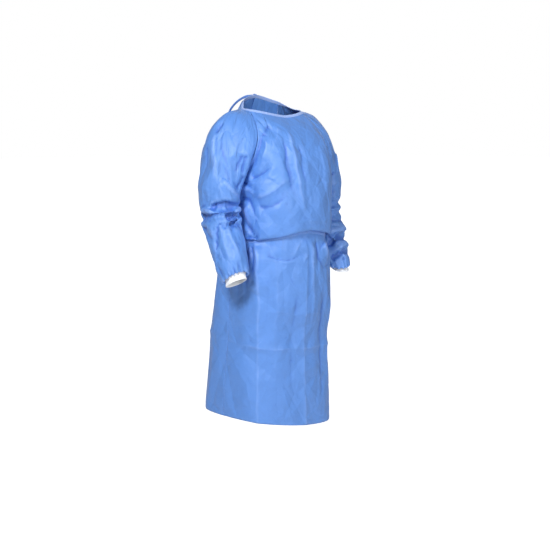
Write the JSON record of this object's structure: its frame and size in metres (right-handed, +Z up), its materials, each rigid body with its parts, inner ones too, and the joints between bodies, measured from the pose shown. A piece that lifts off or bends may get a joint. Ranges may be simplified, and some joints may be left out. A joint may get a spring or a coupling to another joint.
{
  "type": "isolation gown",
  "caption": "Long disposable isolation gown in its worn shape: raglan sleeves with knit cuffs, bound neck, overlapping open back, ties at the nape and the waist.",
  "frame": {"origin": "middle of the neck opening, level with the tops of the shoulders, where the wearer's shoulders carry the gown", "axes": "+Z up the wearer's body, -Y out of the gown's front, -X towards the wearer's right"},
  "size_m": [0.6262, 0.4255, 1.1755],
  "materials": {
    "gown_cloth": "matt light blue spun-bonded nonwoven with a faint bond-point pattern and packaging creases",
    "cuff_knit": "white rib knit",
    "tie_tape": "folded strip of the same nonwoven, paler where it is single and translucent"
  },
  "bodies": {
    "root": {"front_panel": "gown_cloth", "back_panel_right": "gown_cloth", "back_panel_left": "gown_cloth", "sleeve_right": "gown_cloth", "sleeve_left": "gown_cloth", "cuff_right": "cuff_knit", "cuff_left": "cuff_knit", "neck_binding": "tie_tape", "neck_knot": "tie_tape", "neck_tie_right": "tie_tape", "neck_tie_left": "tie_tape", "waist_tie_right": "tie_tape", "waist_tie_left": "tie_tape", "waist_knot": "tie_tape", "waist_end_right": "tie_tape", "waist_end_left": "tie_tape"}
  },
  "joints": []
}
